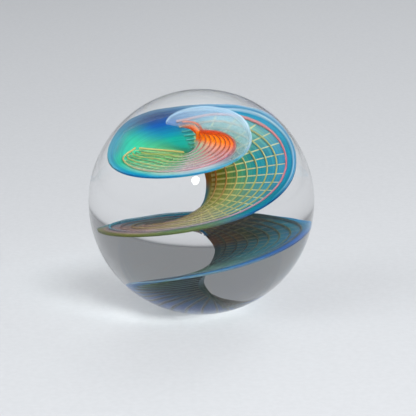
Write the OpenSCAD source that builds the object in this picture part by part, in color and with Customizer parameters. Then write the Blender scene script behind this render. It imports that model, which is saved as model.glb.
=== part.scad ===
// Clear glass marble with a fumed glass ribbon spiralling up inside it.
// Origin at the centre of the ball, +Z up. The front of the ball is its -Y side.
// The ribbon is a right-handed spiral ramp. Each point of it is found from two
// things: the turn (0 points along +X, and whole turns stack above each other)
// and the distance from the spiral's axis.

/* [Ball] */
// Diameter of the finished marble
ball_d = 45; // [42:0.5:60]

/* [Ribbon] */
// Rise of the ribbon in one full turn
pitch = 8.4; // [7.6:0.1:9]
// Rise in one full turn over the back of the ball and above it, where the ribbon lies flatter
top_pitch = 3.5; // [3:0.1:5]
// Height of the ribbon's outer edge over the ball's centre at turn 0, without its front lift
mid_z = 1.4; // [0.8:0.1:2]
// Extra rise of the ribbon as it passes the right of the ball
side_lift = 3; // [2:0.1:3.5]
// Lean of the spiral's axis to the left of upright, in degrees
axis_lean = 7; // [0:0.5:15]
// Turns that the ribbon runs on below turn 0
turns_down = 2; // [1.7:0.05:2]
// Turns that the ribbon climbs above turn 0
turns_up = 1.38; // [1.3:0.02:1.42]
// Radius of the ribbon's outer edge where it is widest
ribbon_r = 14.2; // [12.8:0.1:15]
// Radius of the ribbon's outer edge on the lobe, at the left of the top turn
lobe_r = 13; // [12:0.1:13.5]
// Radius of the ribbon's outer edge on the film, at the right of the top turn
film_r = 8.4; // [7:0.1:9.5]
// Radius of the ribbon's outer edge at its top end
top_end_r = 5; // [3:0.1:7]
// Radius of the ribbon's outer edge at its bottom end
bottom_end_r = 7.2; // [5:0.1:9]
// Radius of the ribbon's inner edge, which winds round clear glass
inner_r = 1; // [0.8:0.1:2]
// Radius of the ribbon's inner edge at the top, where it closes in on the axis
top_inner_r = 0.5; // [0.45:0.05:0.8]
// Thickness of the ribbon
ribbon_t = 0.3; // [0.2:0.02:0.4]

/* [Ribbon section] */
// Width of the outer strip that droops where the ribbon is widest
droop_w = 1.6; // [1.2:0.1:2.5]
// Droop of the outer edge where the ribbon is widest
droop_h = 0.2; // [0:0.05:0.6]
// Height of the lower turns' middle over their outer edge, a low tent
tent_h = 0.3; // [0:0.1:1]
// Depth of the lobe's middle under its outer edge, a bowl
bowl_h = 0.6; // [0.2:0.1:1.5]
// Height of the fan's middle over its outer edge, a tent again
fan_h = 0.8; // [0.3:0.1:1.5]

/* [Threads] */
// Bare margin between the edge thread and the ribbon's outer edge, lower turns
margin_w = 1.6; // [1:0.1:2.5]
// Radius of the edge thread on the lobe
lobe_grid_r = 10.7; // [10:0.1:11.3]
// How far the edge thread curves in at the start of the lobe's grid
lobe_corner_w = 1.8; // [0:0.1:2.5]
// Radius of the edge thread on top of the axis, where it turns back
knot_r = 1.4; // [1.2:0.1:1.8]
// Radius of the edge thread at the fan's tip, where it ends
fan_tip_r = 2.8; // [2.2:0.1:3.5]
// Number of long threads that run along the ribbon inside the edge thread
long_threads_n = 7; // [4:1:8]
// Cross threads in one full turn
cross_threads_n = 32; // [20:2:36]
// Bare strip between the ribbon's inner edge and the start of the cross threads
cross_start_w = 0.8; // [0.6:0.1:1]
// Thickness of a long thread
long_thread_d = 0.24; // [0.16:0.02:0.3]
// Thickness of a cross thread
cross_thread_d = 0.2; // [0.14:0.02:0.3]
// Thickness of the edge thread
edge_thread_d = 0.3; // [0.2:0.02:0.36]

/* [Fit] */
// Seam left between the ribbon and the threads that lie on it
thread_seam = 0.04; // [0.03:0.01:0.06]
// Least clear glass between two long threads, which stop where the ribbon gets too narrow for it
thread_gap = 0.12; // [0.1:0.02:0.3]
// Seam left between the inlay and the clear glass round it
casing_seam = 0.1; // [0.08:0.01:0.14]

/* [Resolution] */
// Steps of the ribbon in one full turn
steps_n = 32; // [24:2:36]
// Fineness of the ball
ball_fn = 128; // [64:16:160]

/* [Hidden] */

ball_r = ball_d / 2;
// The ribbon slopes to its axis inside this radius, and droops outside it
shoulder_r = ribbon_r - droop_w;
// The bottom of the ribbon narrows from here down
bottom_taper_turn = -1;
bottom_taper_power = 2;
// The ribbon narrows to the lobe, then to the film, then to its top end
lobe_turns = [0.1, 0.4];
film_turns = [0.72, 1.05];
top_end_turn = 1.1;
top_end_power = 2;
// The ribbon is lifted between these turns, and bends to its flatter rise between those
lift_turns = [-0.2, 0.25];
flat_turns = [0.15, 0.4];
// The tent turns to the lobe's bowl, and the bowl to the fan's tent
bowl_turns = [0, 0.5];
fan_turns = [0.65, 1];
// The inner edge closes in on the axis between these turns
inner_turns = [0.6, 0.9];
// How sudden the slope to the axis is
slope_power = 0.7;
// The lower grid ends at the first turn, the top grid runs between the other two
lower_grid_end = 0.28;
top_grid_turns = [0.43, 1.33];
// The edge thread moves in to the lobe's grid from this turn, and to the knot between those
grid_in_turn = 0.2;
fan_turns_in = [0.7, 1.06];
fan_in_power = 2;
// Turns over which the long threads spread out from the lobe's tip: the innermost, and each
// share of the grid's width further out
spread_turns = 0.05;
spread_turns_outward = 0.15;
// Turns that the curve at the start of the lobe's grid takes
corner_turns = 0.07;
// Share of a narrow end that its bare margin may take
end_margin_share = 0.5;
// Steps along a cross thread, and across the ribbon over it
cross_cells = 4;
// Step over which a slope is measured
turn_step = 0.002;
radius_step = 0.02;

// How far the ribbon's middle surface is from the top of each thing that lies on it
half_ribbon = ribbon_t / 2;
long_offset = half_ribbon + thread_seam + long_thread_d / 2;
edge_offset = half_ribbon + thread_seam + edge_thread_d / 2;
cross_offset = -(half_ribbon + thread_seam + cross_thread_d / 2);
pocket_up = half_ribbon + thread_seam + max(long_thread_d, edge_thread_d) + casing_seam;
pocket_down = half_ribbon + thread_seam + cross_thread_d + casing_seam;
// The pocket runs past the ends of the ribbon by the seam, measured near the axis
pocket_turns = casing_seam / (2 * PI * top_inner_r);

// 0 before a, 1 after b, and a smooth rise between them
function ramp(x, a, b) =
    let (s = max(0, min(1, (x - a) / (b - a)))) s * s * (3 - 2 * s);

// 0 before a, rising to 1 at b with a given power
function power_rise(x, a, b, power) = pow(max(0, (x - a) / (b - a)), power);

// 0 before a, climbing 1 for 1 after b, with a smooth bend between
function eased(x, a, b) =
    x < b ? pow(max(0, x - a), 2) / (2 * (b - a)) : x - (a + b) / 2;

// Radius of the outer edge of the ribbon at a turn
function outer_r(turn) =
    turn < bottom_taper_turn
        ? ribbon_r - (ribbon_r - bottom_end_r)
            * power_rise(-turn, -bottom_taper_turn, turns_down, bottom_taper_power)
        : ribbon_r - (ribbon_r - lobe_r) * ramp(turn, lobe_turns[0], lobe_turns[1])
            - (lobe_r - film_r) * ramp(turn, film_turns[0], film_turns[1])
            - (film_r - top_end_r) * power_rise(turn, top_end_turn, turns_up, top_end_power);

// Radius of the inner edge of the ribbon at a turn
function inner_edge_r(turn) = inner_r - (inner_r - top_inner_r) * ramp(turn, inner_turns[0], inner_turns[1]);

// Radius of the edge thread at a turn
function edge_r(turn) =
    let (low = outer_r(turn) - min(margin_w, end_margin_share * outer_r(turn)))
    let (top = low + (lobe_grid_r - low) * ramp(turn, grid_in_turn, lower_grid_end))
    top - (lobe_grid_r - knot_r) * min(1, power_rise(turn, fan_turns_in[0], fan_turns_in[1], fan_in_power))
        + (fan_tip_r - knot_r) * ramp(turn, fan_turns_in[1], top_grid_turns[1])
        - lobe_corner_w * (1 - ramp(abs(turn - top_grid_turns[0]), 0, corner_turns));

// Height of the ribbon's outer edge at a turn
function rim_z(turn) =
    mid_z + pitch * turn + side_lift * ramp(turn, lift_turns[0], lift_turns[1])
        - (pitch - top_pitch) * eased(turn, flat_turns[0], flat_turns[1]);

// Height of the ribbon's middle surface at a turn and a distance from the axis
function ribbon_z(turn, r) =
    let (slope_h = -tent_h + (tent_h + bowl_h) * ramp(turn, bowl_turns[0], bowl_turns[1])
        - (bowl_h + fan_h) * ramp(turn, fan_turns[0], fan_turns[1]))
    let (inside = pow(min(r / shoulder_r, 1), slope_power) - 1)
    let (outside = max(0, (r - shoulder_r) / droop_w))
    rim_z(turn) + slope_h * inside - droop_h * outside * outside;

function ribbon_point(turn, r) =
    [r * cos(360 * turn), r * sin(360 * turn), ribbon_z(turn, r)];

function unit(v) = v / norm(v);

// Direction across the ribbon, away from the axis
function across(turn, r) =
    unit(ribbon_point(turn, r + radius_step) - ribbon_point(turn, r - radius_step));

// Direction along the ribbon, upwards
function along(turn, r) =
    unit(ribbon_point(turn + turn_step, r) - ribbon_point(turn - turn_step, r));

// Direction square to the ribbon, on its upper side
function square_to(turn, r) = unit(cross(across(turn, r), along(turn, r)));

// Point of the ribbon moved off its middle surface by a height
function lifted(turn, r, height) = ribbon_point(turn, r) + height * square_to(turn, r);

// The turns at which the ribbon's skin has a section: two ends, and even steps between them
function turn_list(from, to) = concat(
    from,
    [for (i = [floor(from * steps_n) + 1:ceil(to * steps_n) - 1]) i / steps_n],
    to);

// Distances from the axis between the start and the end of a cross thread
function cross_radii(turn) =
    let (inner = inner_edge_r(turn))
    let (start = inner + min(cross_start_w, (edge_r(turn) - inner) / 2))
    [for (i = [0:cross_cells]) start + (edge_r(turn) - start) * i / cross_cells];

// Distances from the axis at which the ribbon's section has a corner
function section_radii(turn, grow) = 
    concat(inner_edge_r(turn) - grow, cross_radii(turn), outer_r(turn) + grow);

// One closed section of the ribbon: along its upper side and back along its lower side
function ribbon_section(turn, up, down, grow) =
    let (radii = section_radii(turn, grow), last = len(radii) - 1)
    concat(
        [for (i = [0:last]) lifted(turn, radii[i], up)],
        [for (i = [last:-1:0]) lifted(turn, radii[i], -down)]);

// Closed skin through a row of sections with the same even number of corners
module skin(sections) {
    m = len(sections[0]);
    n = len(sections);
    sides = [for (i = [0:n - 2], j = [0:m - 1])
        let (a = i * m + j, b = i * m + (j + 1) % m)
        each [[a, b + m, b], [a, a + m, b + m]]];
    strip = [for (j = [0:m / 2 - 2])
        each [[j, m - 2 - j, m - 1 - j], [j, j + 1, m - 2 - j]]];
    far_strip = [for (f = strip) [f[0], f[2], f[1]] + (n - 1) * [m, m, m]];
    polyhedron(points = [for (s = sections) each s], faces = concat(sides, strip, far_strip));
}

// Everything inside the ball follows the leaning axis
module on_spiral_axis() {
    rotate([0, -axis_lean, 0])
        children();
}

module ribbon_skin(from, to, up, down, grow) {
    skin([for (turn = turn_list(from, to)) ribbon_section(turn, up, down, grow)]);
}

// The space in the clear glass that the ribbon and its threads fill
module inlay_pocket() {
    on_spiral_axis()
        ribbon_skin(-turns_down - pocket_turns, turns_up + pocket_turns,
            pocket_up, pocket_down, casing_seam);
}

// How far a thread of the top grid has spread from the edge thread
function spread(turn, share) =
    ramp(turn, top_grid_turns[0], top_grid_turns[0] + spread_turns + spread_turns_outward * share);

// Radius of a thread along the ribbon, share being its place between the axis and the edge thread
function thread_r(turn, share) =
    edge_r(turn) - (edge_r(turn) - inner_edge_r(turn)) * (1 - share)
        * (turn < top_grid_turns[0] ? 1 : spread(turn, share));

// Four-sided thread along the ribbon
function along_ring(turn, share, thread_d, offset) =
    let (r = thread_r(turn, share),
        c = lifted(turn, r, offset),
        u = across(turn, r) * thread_d / 2,
        v = square_to(turn, r) * thread_d / 2)
    [c + u, c - v, c - u, c + v];

module thread_along(turns, share, thread_d, offset) {
    skin([for (turn = turns) along_ring(turn, share, thread_d, offset)]);
}

// The turns of one grid where a long thread has room outside it. Where the grid narrows,
// every second thread stops first, then all but the middle one.
function roomy_turns(from, to, i) =
    let (neighbour = i % 4 == 0 ? 4 : i % 2 == 0 ? 2 : 1)
    [for (turn = turn_list(from, to))
        if (thread_r(turn, (i + neighbour) / (long_threads_n + 1)) - thread_r(turn, i / (long_threads_n + 1))
            > long_thread_d + thread_gap) turn];

// Four-sided thread across the ribbon, from near the axis to a given radius
function across_ring(turn, r, thread_d, offset) =
    let (c = lifted(turn, r, offset),
        u = along(turn, r) * thread_d / 2,
        v = square_to(turn, r) * thread_d / 2)
    [c + u, c + v, c - u, c - v];

module thread_across(turn, end_r, thread_d, offset) {
    start_r = inner_edge_r(turn) + cross_start_w;
    skin([for (i = [0:cross_cells])
        across_ring(turn, start_r + (end_r - start_r) * i / cross_cells, thread_d, offset)]);
}

// Thick clear glass gathered over the inlay and rounded to a ball
module clear_casing() {
    color([0.86, 0.93, 0.95, 0.35])
        difference() {
            sphere(r = ball_r, $fn = ball_fn);
            inlay_pocket();
        }
}

// Thin glass sheet fumed with silver and gold, wound up the axis
module fumed_ribbon() {
    color([0.18, 0.58, 0.68])
        on_spiral_axis()
            ribbon_skin(-turns_down, turns_up, half_ribbon, half_ribbon, 0);
}

// Cream threads that run along the upper side of the ribbon
module long_threads() {
    color([0.90, 0.86, 0.58])
        on_spiral_axis()
            for (span = [[-turns_down, lower_grid_end], [top_grid_turns[0], fan_turns_in[1]]],
                i = [1:long_threads_n])
                thread_along(roomy_turns(span[0], span[1], i), i / (long_threads_n + 1),
                    long_thread_d, long_offset);
}

// Salmon threads that cross the ribbon on its underside
module cross_threads() {
    color([0.90, 0.55, 0.45])
        on_spiral_axis()
            for (span = [[-turns_down, lower_grid_end], top_grid_turns],
                i = [floor(span[0] * cross_threads_n) + 1:ceil(span[1] * cross_threads_n) - 1])
                let (turn = i / cross_threads_n)
                if (edge_r(turn) - inner_edge_r(turn) > 3 * cross_start_w)
                    thread_across(turn, edge_r(turn), cross_thread_d, cross_offset);
}

// Thicker salmon thread that borders the grid, and starts the lobe's grid with a straight piece
module edge_thread() {
    color([0.93, 0.50, 0.42])
        on_spiral_axis() {
            thread_along(turn_list(-turns_down, lower_grid_end), 1, edge_thread_d, edge_offset);
            thread_along(turn_list(top_grid_turns[0], top_grid_turns[1]), 1, edge_thread_d, edge_offset);
            thread_across(top_grid_turns[0], edge_r(top_grid_turns[0]) - 2 * edge_thread_d,
                edge_thread_d, edge_offset);
        }
}

clear_casing();
fumed_ribbon();
long_threads();
cross_threads();
edge_thread();
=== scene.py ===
import math

import bpy
from mathutils import Matrix, Vector


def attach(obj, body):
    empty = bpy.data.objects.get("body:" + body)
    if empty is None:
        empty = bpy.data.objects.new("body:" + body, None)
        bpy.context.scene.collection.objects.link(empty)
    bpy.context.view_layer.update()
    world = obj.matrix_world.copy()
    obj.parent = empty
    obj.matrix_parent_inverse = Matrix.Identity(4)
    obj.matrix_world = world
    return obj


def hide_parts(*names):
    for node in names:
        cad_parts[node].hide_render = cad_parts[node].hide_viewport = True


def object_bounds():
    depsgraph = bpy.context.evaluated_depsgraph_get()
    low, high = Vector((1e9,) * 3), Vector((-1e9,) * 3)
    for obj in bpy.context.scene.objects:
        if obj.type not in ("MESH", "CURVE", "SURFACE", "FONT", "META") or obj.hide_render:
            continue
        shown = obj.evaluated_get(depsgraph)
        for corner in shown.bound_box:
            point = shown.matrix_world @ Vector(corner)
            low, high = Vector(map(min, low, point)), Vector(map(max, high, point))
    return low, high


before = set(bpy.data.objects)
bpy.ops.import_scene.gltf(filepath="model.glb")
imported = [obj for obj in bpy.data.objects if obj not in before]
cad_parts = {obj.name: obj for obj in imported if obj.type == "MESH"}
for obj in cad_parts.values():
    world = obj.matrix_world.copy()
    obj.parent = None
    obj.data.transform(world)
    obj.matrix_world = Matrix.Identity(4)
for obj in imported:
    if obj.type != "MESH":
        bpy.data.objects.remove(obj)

cad_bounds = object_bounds()


# The studio: a plain pale table top, four soft lamps and a camera a little
# above the marble. The table top is a board faced with matt laminate. None of
# it belongs to the marble.
BALL_RADIUS = (cad_bounds[1][0] - cad_bounds[0][0]) / 2
TABLE_WIDTH = 3
FLECKS_A_METRE = 900.0    # one about every millimetre
AIR_STRENGTH = 0.30
LAMPS = (                 # name, place, width, watts, and whether the glass mirrors it
    ("key_lamp", (0.30, -0.32, 0.52), 0.22, 4.2, False),
    ("fill_lamp", (-0.50, -0.25, 0.35), 0.35, 1.6, False),
    ("back_lamp", (0.10, 0.50, 0.45), 0.30, 1.2, False),
    ("round_lamp", (-0.06, -0.50, 0.36), 0.08, 0.6, True))
CAMERA_DISTANCE = 0.40
CAMERA_ANGLE = math.radians(15)
CAMERA_LENS = 173.5       # millimetres, as the sensor
CAMERA_SENSOR = 36
CAMERA_SHIFT = (0.016, -0.015)


def linear(hex_colour):
    """Linear RGBA from an sRGB hex colour."""
    channels = [int(hex_colour[i:i + 2], 16) / 255 for i in (1, 3, 5)]
    return [c / 12.92 if c <= 0.04045 else ((c + 0.055) / 1.055) ** 2.4 for c in channels] + [1]


def node(tree, kind, inputs=(), stops=(), **settings):
    """Adds a node, sets its properties, and sets or links its inputs, by name or in order."""
    new = tree.nodes.new("ShaderNode" + kind)
    for name, value in settings.items():
        setattr(new, name, value)
    for socket, value in inputs.items() if isinstance(inputs, dict) else enumerate(inputs):
        if isinstance(value, bpy.types.NodeSocket):
            tree.links.new(value, new.inputs[socket])
        else:
            new.inputs[socket].default_value = value
    if stops:
        points = new.color_ramp.elements
        while len(points) < len(stops):
            points.new(1)
        for point, (place, hex_colour) in zip(points, stops):
            point.position = place
            point.color = linear(hex_colour)
    return new


def new_material(name):
    """An empty node material, with its tree and its output node."""
    material = bpy.data.materials.new(name)
    material.use_nodes = True
    tree = material.node_tree
    tree.nodes.clear()
    return material, tree, node(tree, "OutputMaterial")


def give(piece, *materials):
    piece.data.materials.clear()
    for material in materials:
        piece.data.materials.append(material)


bpy.ops.object.select_all(action="DESELECT")
bpy.ops.mesh.primitive_plane_add(size=TABLE_WIDTH, location=(0, 0, -BALL_RADIUS))
bpy.ops.object.transform_apply(location=True)
table = bpy.context.object
table.name = "table_top"
# Matt pressed laminate: an even pale grey with faint flecks and no mirror image.
laminate, tree, output = new_material("matt_pressed_laminate")
fleck = node(tree, "TexNoise", {"Vector": node(tree, "TexCoord").outputs["Object"],
                                "Scale": FLECKS_A_METRE, "Detail": 3.0})
shade = node(tree, "ValToRGB", {"Fac": fleck.outputs["Fac"]}, stops=[(0.3, "#C6C8CB"), (0.7, "#CACCCF")])
surface = node(tree, "BsdfPrincipled", {"Base Color": shade.outputs["Color"], "Roughness": 0.7})
tree.links.new(surface.outputs[0], output.inputs["Surface"])
give(table, laminate)

world = bpy.data.worlds.new("studio_air")
bpy.context.scene.world = world
world.use_nodes = True
world.node_tree.nodes.clear()
air = node(world.node_tree, "Background", {"Color": linear("#DDE1E6"), "Strength": AIR_STRENGTH})
world.node_tree.links.new(air.outputs[0], node(world.node_tree, "OutputWorld").inputs["Surface"])

for lamp_name, place, width, watts, mirrored in LAMPS:
    light = bpy.data.lights.new(lamp_name, "AREA")
    light.shape = "DISK"
    light.size = width
    light.energy = watts
    lamp = bpy.data.objects.new(lamp_name, light)
    lamp.location = place
    lamp.rotation_euler = (-Vector(place)).to_track_quat("-Z", "Y").to_euler()
    lamp.visible_glossy = mirrored
    bpy.context.scene.collection.objects.link(lamp)

lens = bpy.data.cameras.new("studio_camera")
lens.lens = CAMERA_LENS
lens.sensor_width = CAMERA_SENSOR
lens.shift_x, lens.shift_y = CAMERA_SHIFT
camera = bpy.data.objects.new("studio_camera", lens)
camera.location = (0, -CAMERA_DISTANCE * math.cos(CAMERA_ANGLE), CAMERA_DISTANCE * math.sin(CAMERA_ANGLE))
camera.rotation_euler = (math.pi / 2 - CAMERA_ANGLE, 0, 0)
bpy.context.scene.collection.objects.link(camera)
bpy.context.scene.camera = camera
bpy.context.scene.view_settings.view_transform = "Standard"


# The ribbon: thin borosilicate sheet, fumed with silver and gold in a flame,
# and wound round its axis like a spiral ramp while soft. It leans a little to
# the left. Places along it are turns round the axis, 0 at the marble's right.
TURNS_DOWN = 2
TURNS_UP = 1.38
PITCH = 0.0084
TOP_PITCH = 0.0035
FLAT_TURNS = (0.15, 0.4)
MID_HEIGHT = 0.0014
SIDE_LIFT = 0.0030
LIFT_TURNS = (-0.2, 0.25)
RIBBON_RADIUS = 0.0142
LOBE_RADIUS = 0.0130
LOBE_TURNS = (0.1, 0.4)
FILM_RADIUS = 0.0084
FILM_TURNS = (0.72, 1.05)
TOP_END_RADIUS = 0.0050
TOP_END_TURN = 1.1
BOTTOM_END_RADIUS = 0.0072
BOTTOM_TAPER_TURN = -1
TAPER_POWER = 2
INNER_RADIUS = 0.0010
TOP_INNER_RADIUS = 0.0005
INNER_TURNS = (0.6, 0.9)
DROOP_WIDTH = 0.0016
DROOP_HEIGHT = 0.0002
SHOULDER_RADIUS = RIBBON_RADIUS - DROOP_WIDTH
TENT_HEIGHT = 0.0003
BOWL_DEPTH = 0.0006
BOWL_TURNS = (0, 0.5)
FAN_HEIGHT = 0.0008
FAN_TURNS = (0.65, 1.0)
SLOPE_POWER = 0.7
RIBBON_THICK = 0.0003
AXIS_LEAN = math.radians(7)
LEAN = Matrix.Rotation(-AXIS_LEAN, 3, "Y")
TURN_STEP = 0.002         # steps over which a slope is measured
RADIUS_STEP = 0.00002
# The grids of threads on it: one from its foot to behind the lobe, and one on
# the lobe and the fan, whose border turns back at a knot.
MARGIN_WIDTH = 0.0016
END_MARGIN_SHARE = 0.5
LOBE_GRID_RADIUS = 0.0107
LOBE_GRID_TURN = 0.2
LOBE_CORNER = 0.0018
CORNER_TURNS = 0.07
KNOT_RADIUS = 0.0014
KNOT_TURNS = (0.7, 1.06)
FAN_TIP_RADIUS = 0.0028
LOWER_GRID = (-TURNS_DOWN, 0.28)
TOP_GRID = (0.43, 1.33)
GRID_SHARE = 0.8          # place of the grids' border, from 0 at the inner edge to 1 at the outer one
RIBBON_STEPS_A_TURN = 96
RIBBON_CELLS = 40


def rise(x, start, end):
    """0 before the start, 1 after the end, and a smooth rise between them."""
    share = max(0, min(1, (x - start) / (end - start)))
    return share * share * (3 - 2 * share)


def power_rise(x, start, end):
    """0 before the start, then a rise that grows faster and faster and is 1 at the end."""
    return max(0, (x - start) / (end - start)) ** TAPER_POWER


def eased(x, start, end):
    """0 before the start, climbing 1 for 1 after the end, with a smooth bend between."""
    if x < end:
        return max(0, x - start) ** 2 / (2 * (end - start))
    return x - (start + end) / 2


def outer_radius(turn):
    """The ribbon's outer edge, narrower at both ends."""
    if turn < BOTTOM_TAPER_TURN:
        taper = power_rise(-turn, -BOTTOM_TAPER_TURN, TURNS_DOWN)
        return RIBBON_RADIUS - (RIBBON_RADIUS - BOTTOM_END_RADIUS) * taper
    return (RIBBON_RADIUS - (RIBBON_RADIUS - LOBE_RADIUS) * rise(turn, *LOBE_TURNS)
            - (LOBE_RADIUS - FILM_RADIUS) * rise(turn, *FILM_TURNS)
            - (FILM_RADIUS - TOP_END_RADIUS) * power_rise(turn, TOP_END_TURN, TURNS_UP))


def inner_radius(turn):
    """The ribbon's inner edge, which closes in on the axis towards the fan."""
    return INNER_RADIUS - (INNER_RADIUS - TOP_INNER_RADIUS) * rise(turn, *INNER_TURNS)


def edge_radius(turn):
    """The grid's border, inside a bare margin."""
    margin = min(MARGIN_WIDTH, outer_radius(turn) * END_MARGIN_SHARE)
    low = outer_radius(turn) - margin
    low += (LOBE_GRID_RADIUS - low) * rise(turn, LOBE_GRID_TURN, LOWER_GRID[1])
    return (low - (LOBE_GRID_RADIUS - KNOT_RADIUS) * min(1, power_rise(turn, *KNOT_TURNS))
            + (FAN_TIP_RADIUS - KNOT_RADIUS) * rise(turn, KNOT_TURNS[1], TOP_GRID[1])
            - LOBE_CORNER * (1 - rise(abs(turn - TOP_GRID[0]), 0, CORNER_TURNS)))


def ramp_height(turn, radius):
    """A low tent on the lower turns, a bowl on the lobe, and a tent again on the fan."""
    rim = (MID_HEIGHT + PITCH * turn + SIDE_LIFT * rise(turn, *LIFT_TURNS)
           - (PITCH - TOP_PITCH) * eased(turn, *FLAT_TURNS))
    slope = (-TENT_HEIGHT + (TENT_HEIGHT + BOWL_DEPTH) * rise(turn, *BOWL_TURNS)
             - (BOWL_DEPTH + FAN_HEIGHT) * rise(turn, *FAN_TURNS))
    inside = min(radius / SHOULDER_RADIUS, 1) ** SLOPE_POWER - 1
    outside = max(0, (radius - SHOULDER_RADIUS) / DROOP_WIDTH)
    return rim + slope * inside - DROOP_HEIGHT * outside ** 2


def ramp_point(turn, radius):
    angle = 2 * math.pi * turn
    return Vector((radius * math.cos(angle), radius * math.sin(angle), ramp_height(turn, radius)))


def on_ramp(turn, radius, lift):
    """A point lifted off the ribbon's middle, in the marble's frame."""
    across = ramp_point(turn, radius + RADIUS_STEP) - ramp_point(turn, radius - RADIUS_STEP)
    along = ramp_point(turn + TURN_STEP, radius) - ramp_point(turn - TURN_STEP, radius)
    return LEAN @ (ramp_point(turn, radius) + lift * across.cross(along).normalized())


def radius_at(turn, place):
    """Radius at a place across the ribbon: 0 its inner edge, 1 its outer one."""
    edge = edge_radius(turn)
    if place < GRID_SHARE:
        return inner_radius(turn) + (edge - inner_radius(turn)) * place / GRID_SHARE
    return edge + (outer_radius(turn) - edge) * (place - GRID_SHARE) / (1 - GRID_SHARE)


def grid_depth(turn, radius):
    """How far a point is inside the border of its grid, in metres."""
    start, end = LOWER_GRID if turn < (LOWER_GRID[1] + TOP_GRID[0]) / 2 else TOP_GRID
    return min(radius - inner_radius(turn), edge_radius(turn) - radius,
               2 * math.pi * radius * min(turn - start, end - turn))


def note(piece, **values):
    """Writes one number a point under each name, for the material to read."""
    for name, numbers in values.items():
        piece.data.attributes.new(name, "FLOAT", "POINT").data.foreach_set("value", numbers)


bpy.ops.object.select_all(action="DESELECT")
bpy.ops.mesh.primitive_grid_add(x_subdivisions=int((TURNS_DOWN + TURNS_UP) * RIBBON_STEPS_A_TURN),
                                y_subdivisions=RIBBON_CELLS, size=1)
ribbon = bpy.context.object
ribbon.name = "wound_ribbon"
turns, places, radii, depths = [], [], [], []
for point in ribbon.data.vertices:
    turns.append(-TURNS_DOWN + (TURNS_DOWN + TURNS_UP) * (point.co.x + 0.5))
    places.append(0.5 - point.co.y)
    radii.append(radius_at(turns[-1], places[-1]))
    depths.append(grid_depth(turns[-1], radii[-1]))
    point.co = on_ramp(turns[-1], radii[-1], 0)
note(ribbon, turn=turns, place=places, radius=radii, grid=depths)
wall = ribbon.modifiers.new("wall", "SOLIDIFY")
wall.thickness = RIBBON_THICK
wall.offset = 0
wall.material_offset = 1
bpy.ops.object.modifier_apply(modifier="wall")
bpy.ops.object.shade_smooth_by_angle(angle=math.radians(50))

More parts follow.
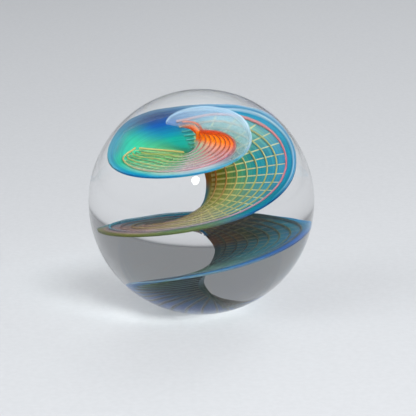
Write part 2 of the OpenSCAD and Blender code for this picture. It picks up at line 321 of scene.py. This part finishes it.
# Colours across the ribbon, at places from 0 to 1, in rows that go up it. Each
# row comes in between its two turns. Silver fume is blue, teal or green by its
# depth, and amber or orange where it is heaviest, on the fan and the knot. The
# dark browns and near-blacks between turns -1 and -0.8 are painted shade, cast
# by the turn above. The ambers and olives near the axis between turns -0.1 and
# 0.16 are painted shade under the lobe, tinted amber.
UPPER_COLOURS = (
    ((0, 0), [(0, "#16382E"), (0.4, "#0E3F56"), (0.8, "#0A4494"), (0.9, "#0B59B0"), (1, "#2A6FB0")]),
    ((-1.6, -1.4), [(0, "#6C7E86"), (0.2, "#4C7484"), (0.45, "#3E6C5C"), (0.7, "#487444"),
                    (0.82, "#126890"), (0.92, "#0460A4"), (1, "#5C84A0")]),
    ((-1.22, -1.06), [(0, "#2E5A62"), (0.3, "#0A5868"), (0.6, "#00566C"), (0.78, "#00487C"),
                      (0.9, "#00509C"), (1, "#1A5090")]),
    # Painted shade: the dark browns and near-blacks in these two rows stand for the shadow of the turn
    # above.
    ((-1.0, -0.9), [(0, "#7A4200"), (0.2, "#583A00"), (0.4, "#0A3418"), (0.6, "#00485C"),
                    (0.8, "#005C70"), (1, "#006C9C")]),
    ((-0.88, -0.8), [(0, "#3C2000"), (0.3, "#281C00"), (0.6, "#141C00"), (0.82, "#082814"),
                     (1, "#0A5C6C")]),
    ((-0.8, -0.75), [(0, "#0A7CA8"), (0.05, "#5A5C30"), (0.3, "#7A6C48"), (0.5, "#6C7C70"),
                     (0.62, "#1E90A4"), (0.8, "#107C9C"), (0.9, "#22A4BC"), (1, "#0A84A8")]),
    ((-0.66, -0.55), [(0, "#0A7CA8"), (0.05, "#5A7C50"), (0.3, "#9A8A6C"), (0.5, "#927E68"),
                      (0.7, "#86727A"), (0.8, "#8C7A84"), (0.88, "#8C7C70"), (0.95, "#6C6C30"),
                      (1, "#545C14")]),
    ((-0.42, -0.3), [(0, "#0A7CA8"), (0.06, "#8E9C64"), (0.25, "#A0966C"), (0.5, "#8A8A74"),
                     (0.72, "#747C60"), (0.82, "#4C6C5C"), (0.92, "#506840"), (1, "#4C6030")]),
    ((-0.26, -0.14), [(0, "#0A86AC"), (0.05, "#9A9A48"), (0.2, "#848C48"), (0.4, "#5A8264"),
                      (0.65, "#44808C"), (0.8, "#1C7484"), (0.9, "#06687C"), (1, "#085C84")]),
    # Painted shade: the ambers and olives near the axis in these two rows stand for the amber-tinted shadow
    # under the lobe.
    ((-0.1, 0.02), [(0, "#A8600A"), (0.14, "#747A08"), (0.3, "#428450"), (0.5, "#187C88"),
                    (0.78, "#3480A0"), (0.86, "#067C9C"), (0.92, "#06688C"), (0.95, "#8CB0C4"),
                    (0.97, "#1C74A0"), (1, "#5C94B4")]),
    ((0.06, 0.16), [(0, "#D06800"), (0.2, "#8C4C00"), (0.34, "#686410"), (0.48, "#448A64"),
                    (0.75, "#6CA09C"), (0.84, "#3C94B0"), (0.9, "#0678A0"), (0.94, "#9CBCCC"),
                    (0.965, "#2480AC"), (1, "#8CB4CC")]),
    ((0.2, 0.3), [(0, "#4C9478"), (0.25, "#1CAA90"), (0.5, "#0AA49C"), (0.66, "#0A84AC"),
                  (0.8, "#0A50A0"), (0.93, "#123C74"), (1, "#5C7C98")]),
    ((0.31, 0.4), [(0, "#3E9860"), (0.2, "#54A068"), (0.5, "#44A87C"), (0.78, "#2EB08C"),
                   (0.88, "#2CAC98"), (0.95, "#2494AC"), (1, "#4C94B0")]),
    ((0.5, 0.6), [(0, "#3C945F"), (0.3, "#4A9C68"), (0.55, "#66A884"), (0.75, "#88B49C"),
                  (0.84, "#64B0A4"), (0.92, "#0A94AC"), (1, "#0A6CA4")]),
    ((0.62, 0.68), [(0, "#48A078"), (0.3, "#3E9458"), (0.55, "#64A488"), (0.78, "#98B4A8"),
                    (0.88, "#88B0AC"), (0.95, "#3C9CB4"), (1, "#147CAC")]),
    ((0.69, 0.73), [(0, "#60A488"), (0.25, "#78A88C"), (0.5, "#A4A49C"), (0.8, "#B0ACB4"),
                    (0.92, "#84ACB8"), (1, "#2C8CB0")]),
    ((0.76, 0.84), [(0, "#84A890"), (0.15, "#94A894"), (0.3, "#A89088"), (0.6, "#A48C90"),
                    (0.8, "#9C8C9C"), (0.9, "#849CAC"), (1, "#4C9CB4")]),
    ((0.85, 0.93), [(0, "#B85008"), (0.25, "#CC7800"), (0.5, "#D48010"), (0.79, "#D47030"),
                    (0.84, "#88A4AC"), (1, "#9CBCC8")]),
    ((1.0, 1.08), [(0, "#B85400"), (0.5, "#CC6C00"), (0.79, "#C05800"), (0.84, "#8CA4AC"),
                   (1, "#B0C8D4")]),
    ((1.09, 1.13), [(0, "#C04C18"), (0.35, "#C8764C"), (0.79, "#B89C94"), (0.84, "#9CB4C0"),
                    (1, "#B4CCDC")]))
UNDER_COLOURS = (
    ((0, 0), [(0, "#0A5A50"), (0.3, "#0850B0"), (0.55, "#0848E0"), (0.8, "#2A58D0"), (1, "#0860E8")]),
    ((-1.72, -1.6), [(0, "#105A44"), (0.4, "#006464"), (0.7, "#0060A8"), (0.9, "#208868"),
                     (1, "#1490C0")]),
    ((-1.5, -1.4), [(0, "#104C6C"), (0.4, "#0068B0"), (0.8, "#007090"), (1, "#148868")]),
    ((-1.2, -0.9), [(0, "#7A5A0A"), (0.4, "#5A5A14"), (0.8, "#2E5A24"), (0.95, "#2E5424"),
                    (1, "#1E6A74")]),
    ((-0.5, -0.3), [(0, "#7A4A08"), (0.5, "#5A5A1C"), (0.8, "#2E5A34"), (1, "#0A6A8C")]),
    ((0.2, 0.5), [(0, "#C15A02"), (0.4, "#A0560C"), (0.8, "#74602C"), (0.92, "#2A7A84"), (1, "#0A8CB4")]),
    ((0.8, 1.0), [(0, "#B8500A"), (0.79, "#A8541C"), (0.84, "#9CB8C4"), (1, "#B4CCD8")]))
# How clear the sheet is, in the same way: black is opaque, white is clear. The
# film at its top end and parts of its bare margin are nearly clear.
OPAQUE = [(0, "#000000"), (1, "#000000")]
CLEARNESS = (
    ((0, 0), OPAQUE),
    ((0.22, 0.32), [(0, "#000000"), (0.84, "#000000"), (0.93, "#A0A0A0"), (1, "#707070")]),
    ((0.42, 0.56), OPAQUE),
    ((0.78, 0.88), [(0, "#000000"), (0.79, "#000000"), (0.83, "#D2D2D2"), (0.97, "#C8C8C8"),
                    (1, "#606060")]),
    ((1.04, 1.08), [(0, "#000000"), (0.79, "#000000"), (0.83, "#DADADA"), (0.97, "#D0D0D0"),
                    (1, "#787878")]),
    ((1.09, 1.13), [(0, "#404040"), (0.5, "#A0A0A0"), (0.83, "#DCDCDC"), (0.97, "#D4D4D4"),
                    (1, "#909090")]),
    ((1.22, 1.36), [(0, "#808080"), (0.5, "#C8C8C8"), (0.83, "#E8E8E8"), (0.97, "#E8E8E8"),
                    (1, "#C8C8C8")]))
# Streaks from the pulling of the sheet: pale and dark ones every 0.25 mm, and
# tinted ones every 0.11 mm. Real ones are finer: these are as coarse as they need
# to be to show.
STREAKS_A_TURN = 3.0
STREAKS_A_METRE = 4000.0
STREAK_LIGHT = (0.84, 1.16)
TINTED_A_TURN = 5.0
TINTED_A_METRE = 9000.0
TINTED_SHARE = 0.35
STREAK_TINTS = [(0.34, "#5C4690"), (0.44, "#808080"), (0.52, "#808080"), (0.6, "#A89050"), (0.7, "#E0C8A0")]
# The cross threads lie under the sheet and show through it as soft lines, which
# are faint at the foot, fade out on the fan and end under the edge thread.
CROSS_THREADS_A_TURN = 32
CROSS_THREAD = 0.0002
CROSS_START = 0.0008
LINE_COLOUR = "#CCBC74"
LINE_SHARE = 0.52
LINE_EDGES = (CROSS_THREAD / 3, CROSS_THREAD * 0.8)
EDGE_THREAD = 0.0003
LINE_BORDER = EDGE_THREAD / 2
FAINT_TURNS = (-0.7, -0.2)
FAINT_SHARE = 0.25
FADING_TURNS = (0.6, 0.76)
FADED_SHARE = 0.1


def field(tree, turn, place, rows):
    """Colour over the ribbon: stops across it at some turns, blended in between."""
    colour = None
    for (start, end), stops in rows:
        here = node(tree, "ValToRGB", {"Fac": place}, stops=stops).outputs["Color"]
        if colour:
            step = node(tree, "MapRange", {"Value": turn, "From Min": start, "From Max": end},
                        interpolation_type="SMOOTHSTEP").outputs["Result"]
            here = node(tree, "Mix", {0: step, 6: colour, 7: here}, data_type="RGBA").outputs[2]
        colour = here
    return colour


def streaks(tree, turn, radius, a_turn, a_metre, detail):
    """Noise that is drawn out along the ribbon."""
    flow = node(tree, "CombineXYZ", {
        "X": node(tree, "Math", (turn, a_turn), operation="MULTIPLY").outputs[0],
        "Y": node(tree, "Math", (radius, a_metre), operation="MULTIPLY").outputs[0]})
    return node(tree, "TexNoise", {"Vector": flow.outputs[0], "Scale": 1.0,
                                   "Detail": detail}).outputs["Fac"]


def cross_lines(tree, turn, radius, grid):
    """How strongly the cross threads below show through the sheet."""
    beside = turn
    for operation, value in (("MULTIPLY", CROSS_THREADS_A_TURN), ("ADD", 0.5), ("FRACT", 0),
                             ("SUBTRACT", 0.5), ("ABSOLUTE", 0), ("MULTIPLY", radius),
                             ("MULTIPLY", 2 * math.pi / CROSS_THREADS_A_TURN)):
        beside = node(tree, "Math", (beside, value), operation=operation).outputs[0]
    share = node(tree, "MapRange", {"Value": turn, "From Min": FAINT_TURNS[0], "From Max": FAINT_TURNS[1],
                                    "To Min": LINE_SHARE * FAINT_SHARE, "To Max": LINE_SHARE})
    fading = node(tree, "MapRange", {"Value": turn, "From Min": FADING_TURNS[0],
                                     "From Max": FADING_TURNS[1], "To Min": 1.0, "To Max": FADED_SHARE})
    share = node(tree, "Math", (share.outputs[0], fading.outputs[0]), operation="MULTIPLY")
    line = node(tree, "MapRange", {"Value": beside, "From Min": LINE_EDGES[0], "From Max": LINE_EDGES[1],
                                   "To Min": share.outputs[0], "To Max": 0.0}).outputs[0]
    for depth, border in ((grid, LINE_BORDER), (radius, CROSS_START + INNER_RADIUS)):
        inside = node(tree, "Math", (depth, border), operation="GREATER_THAN").outputs[0]
        line = node(tree, "Math", (line, inside), operation="MULTIPLY").outputs[0]
    return line


def fumed_sheet(name, colours, lined):
    """Drawn sheet with metal fumed on it, which has no shine because it is fused into the ball."""
    material, tree, output = new_material(name)
    turn, place, radius, grid = [node(tree, "Attribute", attribute_name=kind).outputs["Fac"]
                                 for kind in ("turn", "place", "radius", "grid")]
    colour = field(tree, turn, place, colours)
    streak = streaks(tree, turn, radius, STREAKS_A_TURN, STREAKS_A_METRE, 3.0)
    light = node(tree, "MapRange", {"Value": streak, "From Min": 0.3, "From Max": 0.7,
                                    "To Min": STREAK_LIGHT[0], "To Max": STREAK_LIGHT[1]})
    colour = node(tree, "Mix", {0: 1.0, 6: colour, 7: light.outputs[0]},
                  data_type="RGBA", blend_type="MULTIPLY").outputs[2]
    tinted = streaks(tree, turn, radius, TINTED_A_TURN, TINTED_A_METRE, 2.0)
    tint = node(tree, "ValToRGB", {"Fac": tinted}, stops=STREAK_TINTS)
    colour = node(tree, "Mix", {0: TINTED_SHARE, 6: colour, 7: tint.outputs["Color"]},
                  data_type="RGBA", blend_type="OVERLAY").outputs[2]
    if lined:
        line = cross_lines(tree, turn, radius, grid)
        colour = node(tree, "Mix", {0: line, 6: colour, 7: linear(LINE_COLOUR)},
                      data_type="RGBA").outputs[2]
    surface = node(tree, "BsdfPrincipled", {"Base Color": colour, "Roughness": 0.5,
                                            "Specular IOR Level": 0.0})
    mix = node(tree, "MixShader", {0: field(tree, turn, place, CLEARNESS), 1: surface.outputs[0],
                                   2: node(tree, "BsdfTransparent").outputs[0]})
    tree.links.new(mix.outputs[0], output.inputs["Surface"])
    return material


# Silver-fumed drawn sheet: glowing blues, greens and ambers that run along it
# in fine streaks. Its ambers near the axis and its dark browns between turns -1
# and -0.8 are painted shade. Its gold-fumed underside is blue at the foot, then
# olive, brown and orange with blue rims.
silver_side = fumed_sheet("silver_fumed_drawn_sheet", UPPER_COLOURS, True)
gold_side = fumed_sheet("gold_fumed_drawn_sheet", UNDER_COLOURS, False)
give(ribbon, silver_side, gold_side)
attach(ribbon, "root")
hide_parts("fumed_ribbon")


# The long threads: seven drawn rods of cream glass, laid on the upper side of
# the sheet before it was wound, so that they follow it as rails do a ramp.
LONG_THREADS = 7
LONG_THREAD = 0.00024
THREAD_SEAM = 0.00004
THREAD_GAP = 0.00012
THREAD_STEPS_A_TURN = 64
SPREAD_TURNS = 0.05
SPREAD_TURNS_OUTWARD = 0.15
THREAD_CLEARNESS = 0.45
# Painted shade: the colours darken down the lower turns, which the turns above shadow.
CREAM_COLOURS = (
    (-2, "#4E4A28"), (-1.4, "#5E6A44"), (-1.1, "#2E6A74"), (-0.95, "#4E5A1C"), (-0.8, "#4A4210"),
    (-0.68, "#8C7440"), (-0.5, "#AC9068"), (-0.25, "#A09C70"), (-0.05, "#A4AC68"), (0.12, "#ACB078"),
    (0.27, "#BCA084"), (0.45, "#A8A858"), (0.62, "#ACB480"), (0.71, "#B0A4AC"), (0.78, "#B08488"),
    (0.86, "#D05018"), (1.06, "#C03800"))
# Tints that the sheet lends its threads, each between some turns. The amber one
# is painted shade: the amber-tinted shadow under the lobe, near the axis. The
# rows from black to white say how strong a tint is.
AMBER_SHADE = "#D87814"
AMBER_SHADE_RADII = (0.003, 0.0065)
AMBER_SHADE_SHARE = 0.85
AMBER_SHADE_TURNS = ((-0.2, "#000000"), (-0.02, "#FFFFFF"), (0.12, "#FFFFFF"), (0.2, "#000000"))
TEAL = "#38B0AC"
TEAL_RADII = (0.0085, 0.0105)
TEAL_TURNS = ((0.18, "#000000"), (0.21, "#F0F0F0"), (0.29, "#F0F0F0"), (0.34, "#000000"))
LILAC = "#A080A8"
LILAC_TURNS = ((-0.85, "#000000"), (-0.72, "#C0C0C0"), (-0.4, "#909090"), (-0.15, "#000000"))
GREEN = "#4CA070"
GREEN_TURNS = ((0.42, "#000000"), (0.44, "#D8D8D8"), (0.6, "#D8D8D8"), (0.72, "#000000"))


def turn_and_radius(point):
    """The turn of the ramp that lies nearest to a point, and the point's distance from the axis."""
    upright = LEAN.transposed() @ point
    part = math.atan2(upright.y, upright.x) / (2 * math.pi)
    radius = math.hypot(upright.x, upright.y)
    turn = min((part + whole for whole in range(-TURNS_DOWN, math.ceil(TURNS_UP) + 1)),
               key=lambda turn: abs(ramp_height(turn, radius) - upright.z))
    return turn, radius


def thread_piece(name, routes, thickness):
    """Round threads along routes of points, each closed at its ends, in one mesh."""
    bpy.ops.object.select_all(action="DESELECT")
    bpy.ops.curve.primitive_nurbs_path_add()
    piece = bpy.context.object
    piece.name = name
    curve = piece.data
    curve.splines.clear()
    curve.bevel_depth = thickness / 2
    curve.bevel_resolution = 1
    curve.use_fill_caps = True
    for route in routes:
        spline = curve.splines.new("POLY")
        spline.points.add(len(route) - 1)
        for point, place in zip(spline.points, route):
            point.co = (*place, 1)
    bpy.ops.object.convert(target="MESH")
    bpy.ops.object.shade_smooth()
    places = [turn_and_radius(point.co) for point in piece.data.vertices]
    note(piece, turn=[turn for turn, radius in places], radius=[radius for turn, radius in places])
    return piece


def steps(start, end, a_turn):
    number = round((end - start) * a_turn)
    return [start + (end - start) * step / number for step in range(number + 1)]


def long_radius(turn, number):
    """Radius of a long thread. Those of the top grid spread out from the lobe's tip."""
    share = number / (LONG_THREADS + 1)
    spread = 1
    if turn >= TOP_GRID[0]:
        spread = rise(turn, TOP_GRID[0], TOP_GRID[0] + SPREAD_TURNS + SPREAD_TURNS_OUTWARD * share)
    return edge_radius(turn) - (edge_radius(turn) - inner_radius(turn)) * (1 - share) * spread


def roomy(turn, number):
    """Where the grid narrows, every second thread stops first, then all but the middle one."""
    neighbour = 4 if number % 4 == 0 else 2 if number % 2 == 0 else 1
    return (long_radius(turn, number + neighbour) - long_radius(turn, number)
            > LONG_THREAD + THREAD_GAP)


def long_number(turn, radius):
    """The number of the long thread that lies nearest to a radius."""
    return min(range(1, LONG_THREADS + 1), key=lambda number: abs(long_radius(turn, number) - radius))


long_lift = RIBBON_THICK / 2 + THREAD_SEAM + LONG_THREAD / 2
long_threads = thread_piece("cream_long_threads", [
    [on_ramp(turn, long_radius(turn, number), long_lift)
     for turn in steps(start, min(end, KNOT_TURNS[1]), THREAD_STEPS_A_TURN) if roomy(turn, number)]
    for start, end in (LOWER_GRID, TOP_GRID) for number in range(1, LONG_THREADS + 1)], LONG_THREAD)
# Every second thread takes more of the sheet's tint, as one does that sank a little into it.
note(long_threads, sunk=[long_number(*turn_and_radius(point.co)) % 2
                         for point in long_threads.data.vertices])


def along_ramp(tree, along, stops):
    """Colour by turn, for a number that runs from 0 at the ribbon's foot to 1 at its tip."""
    places = [((turn + TURNS_DOWN) / (TURNS_DOWN + TURNS_UP), colour) for turn, colour in stops]
    return node(tree, "ValToRGB", {"Fac": along}, stops=places).outputs["Color"]


def drawn_rod(name, colours):
    """Soft glass drawn to a thread: nearly half see-through, with no shine as it is fused in."""
    material, tree, output = new_material(name)
    turn, radius, sunk = [node(tree, "Attribute", attribute_name=kind).outputs["Fac"]
                          for kind in ("turn", "radius", "sunk")]
    along = node(tree, "MapRange", {"Value": turn, "From Min": -TURNS_DOWN,
                                    "From Max": TURNS_UP}).outputs[0]
    # Painted shade: how strongly the amber shade near the axis tints the threads.
    inner = node(tree, "MapRange", {"Value": radius, "From Min": AMBER_SHADE_RADII[0], "From Max": AMBER_SHADE_RADII[1],
                                    "To Min": AMBER_SHADE_SHARE, "To Max": 0.0}).outputs[0]
    within = node(tree, "MapRange", {"Value": radius, "From Min": TEAL_RADII[0], "From Max": TEAL_RADII[1],
                                     "To Min": 1.0, "To Max": 0.0}).outputs[0]
    colour = along_ramp(tree, along, colours)
    for where, turns, tint in ((inner, AMBER_SHADE_TURNS, AMBER_SHADE), (within, TEAL_TURNS, TEAL),
                               (sunk, LILAC_TURNS, LILAC), (sunk, GREEN_TURNS, GREEN)):
        share = node(tree, "Math", (where, along_ramp(tree, along, turns)), operation="MULTIPLY")
        colour = node(tree, "Mix", {0: share.outputs[0], 6: colour, 7: linear(tint)},
                      data_type="RGBA").outputs[2]
    surface = node(tree, "BsdfPrincipled", {"Base Color": colour, "Roughness": 0.4,
                                            "Specular IOR Level": 0.0})
    mix = node(tree, "MixShader", {0: THREAD_CLEARNESS, 1: surface.outputs[0],
                                   2: node(tree, "BsdfTransparent").outputs[0]})
    tree.links.new(mix.outputs[0], output.inputs["Surface"])
    return material


# Cream soft-glass rod: warm and milky, and darker on the lower turns, which is
# painted shade.
give(long_threads, drawn_rod("cream_drawn_soft_glass", CREAM_COLOURS))
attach(long_threads, "root")
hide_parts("long_threads")


# The cross threads: short salmon rods fused under the sheet, from near the axis
# to the edge thread. With the long ones they make a grid, as in filigree glass.
CROSS_STEPS = 14
CROSS_LEAST = 3 * CROSS_START
# Painted shade: the colours darken towards the foot.
CROSS_COLOURS = (
    (-2, "#123A5C"), (-1.5, "#0E4454"), (-1.0, "#5E5020"), (-0.5, "#A8845A"), (0, "#B08A50"),
    (0.5, "#C88A50"), (1.33, "#C05020"))


def cross_route(turn, end, lift):
    """Points straight across the ribbon, from near its axis to a radius."""
    start = inner_radius(turn) + CROSS_START
    return [on_ramp(turn, start + (end - start) * step / CROSS_STEPS, lift)
            for step in range(CROSS_STEPS + 1)]


def crossed(turn):
    """Whether there is a grid at a turn, and one wide enough for a cross thread."""
    return (edge_radius(turn) - inner_radius(turn) > CROSS_LEAST
            and not LOWER_GRID[1] < turn < TOP_GRID[0])


cross_lift = -(RIBBON_THICK / 2 + THREAD_SEAM + CROSS_THREAD / 2)
cross_turns = [number / CROSS_THREADS_A_TURN for number in
               range(1 - math.ceil(TURNS_DOWN * CROSS_THREADS_A_TURN),
                     math.ceil(TURNS_UP * CROSS_THREADS_A_TURN))]
cross_threads = thread_piece("salmon_cross_threads", [
    cross_route(turn, edge_radius(turn), cross_lift) for turn in cross_turns if crossed(turn)],
    CROSS_THREAD)
# Salmon soft-glass rod: a muted orange, and dark blue on the lower turns, whose
# darkness is painted shade.
give(cross_threads, drawn_rod("salmon_drawn_soft_glass", CROSS_COLOURS))
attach(cross_threads, "root")
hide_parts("cross_threads")


# The edge thread: a thicker salmon rod along the border of each grid, laid on the
# sheet with the long threads, and a short straight one that closes the top grid.
# Outside it the sheet is bare.
CORNER_GAP = 2 * EDGE_THREAD
# Painted shade: the dark colours at turns -0.9 and -0.8 stand for the shadow of the turn above.
EDGE_COLOURS = (
    (-2, "#4A3E3C"), (-1.2, "#4E6A80"), (-0.9, "#2E3E2C"), (-0.8, "#2A4440"), (-0.76, "#1C90A8"),
    (-0.58, "#24A0B8"), (-0.5, "#7C909C"), (-0.42, "#9C8484"), (-0.25, "#948C9C"), (-0.08, "#B88490"),
    (0.03, "#C87480"), (0.15, "#CC8484"), (0.28, "#D09484"), (0.43, "#C4B06C"), (0.55, "#BCB480"),
    (0.7, "#B89CA8"), (0.82, "#B87880"), (0.95, "#BC4830"), (1.06, "#B43810"), (1.12, "#C8582C"),
    (1.33, "#D09484"))

edge_lift = RIBBON_THICK / 2 + THREAD_SEAM + EDGE_THREAD / 2
edge_thread = thread_piece("salmon_edge_thread", [
    [on_ramp(turn, edge_radius(turn), edge_lift) for turn in steps(start, end, THREAD_STEPS_A_TURN)]
    for start, end in (LOWER_GRID, TOP_GRID)]
    + [cross_route(TOP_GRID[0], edge_radius(TOP_GRID[0]) - CORNER_GAP, edge_lift)], EDGE_THREAD)
# Deep salmon soft-glass rod: pink on the lobe's far side, hot orange at the knot,
# and dark near turn -0.85, where that is painted shade.
give(edge_thread, drawn_rod("deep_salmon_drawn_soft_glass", EDGE_COLOURS))
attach(edge_thread, "root")
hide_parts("edge_thread")


# The casing: clear borosilicate gathered over the inlay and rounded in a
# graphite mould, then polished in a flame. It is fused to the inlay with no gap.
BALL_CUTS = 79
GLASS_IOR = 1.47
SKIN_WAVES_A_METRE = 90.0     # one every 11 mm
SKIN_WAVE_DEPTH = 0.00008
bpy.ops.object.select_all(action="DESELECT")
bpy.ops.mesh.primitive_cube_add(size=2 * BALL_RADIUS)
ball = bpy.context.object
ball.name = "clear_ball"
bpy.ops.object.mode_set(mode="EDIT")
bpy.ops.mesh.select_all(action="SELECT")
bpy.ops.mesh.subdivide(number_cuts=BALL_CUTS)
bpy.ops.transform.tosphere(value=1)
bpy.ops.object.mode_set(mode="OBJECT")
made_radius = ball.data.vertices[0].co.length
bpy.ops.transform.resize(value=[BALL_RADIUS / made_radius] * 3)
bpy.ops.object.transform_apply(location=True, rotation=True, scale=True)
bpy.ops.object.shade_smooth()
# Flame-polished borosilicate: water clear and mirror smooth, with the slow waves
# that a flame leaves in the skin. Lamp light passes it with hardly a shadow.
clear_glass, tree, output = new_material("flame_polished_borosilicate")
skin_waves = node(tree, "TexNoise", {"Vector": node(tree, "TexCoord").outputs["Object"],
                                     "Scale": SKIN_WAVES_A_METRE, "Detail": 1.0})
skin = node(tree, "Bump", {"Strength": 1.0, "Distance": SKIN_WAVE_DEPTH,
                           "Height": skin_waves.outputs["Fac"]})
glass = node(tree, "BsdfPrincipled", {"Base Color": linear("#FFFFFF"), "Roughness": 0.0,
                                      "IOR": GLASS_IOR, "Transmission Weight": 1.0,
                                      "Normal": skin.outputs[0]})
lamp_light = node(tree, "BsdfTransparent", {"Color": linear("#F6F8F8")})
shadow = node(tree, "LightPath").outputs["Is Shadow Ray"]
mix = node(tree, "MixShader", {0: shadow, 1: glass.outputs[0], 2: lamp_light.outputs[0]})
tree.links.new(mix.outputs[0], output.inputs["Surface"])
give(ball, clear_glass)
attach(ball, "root")
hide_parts("clear_casing")
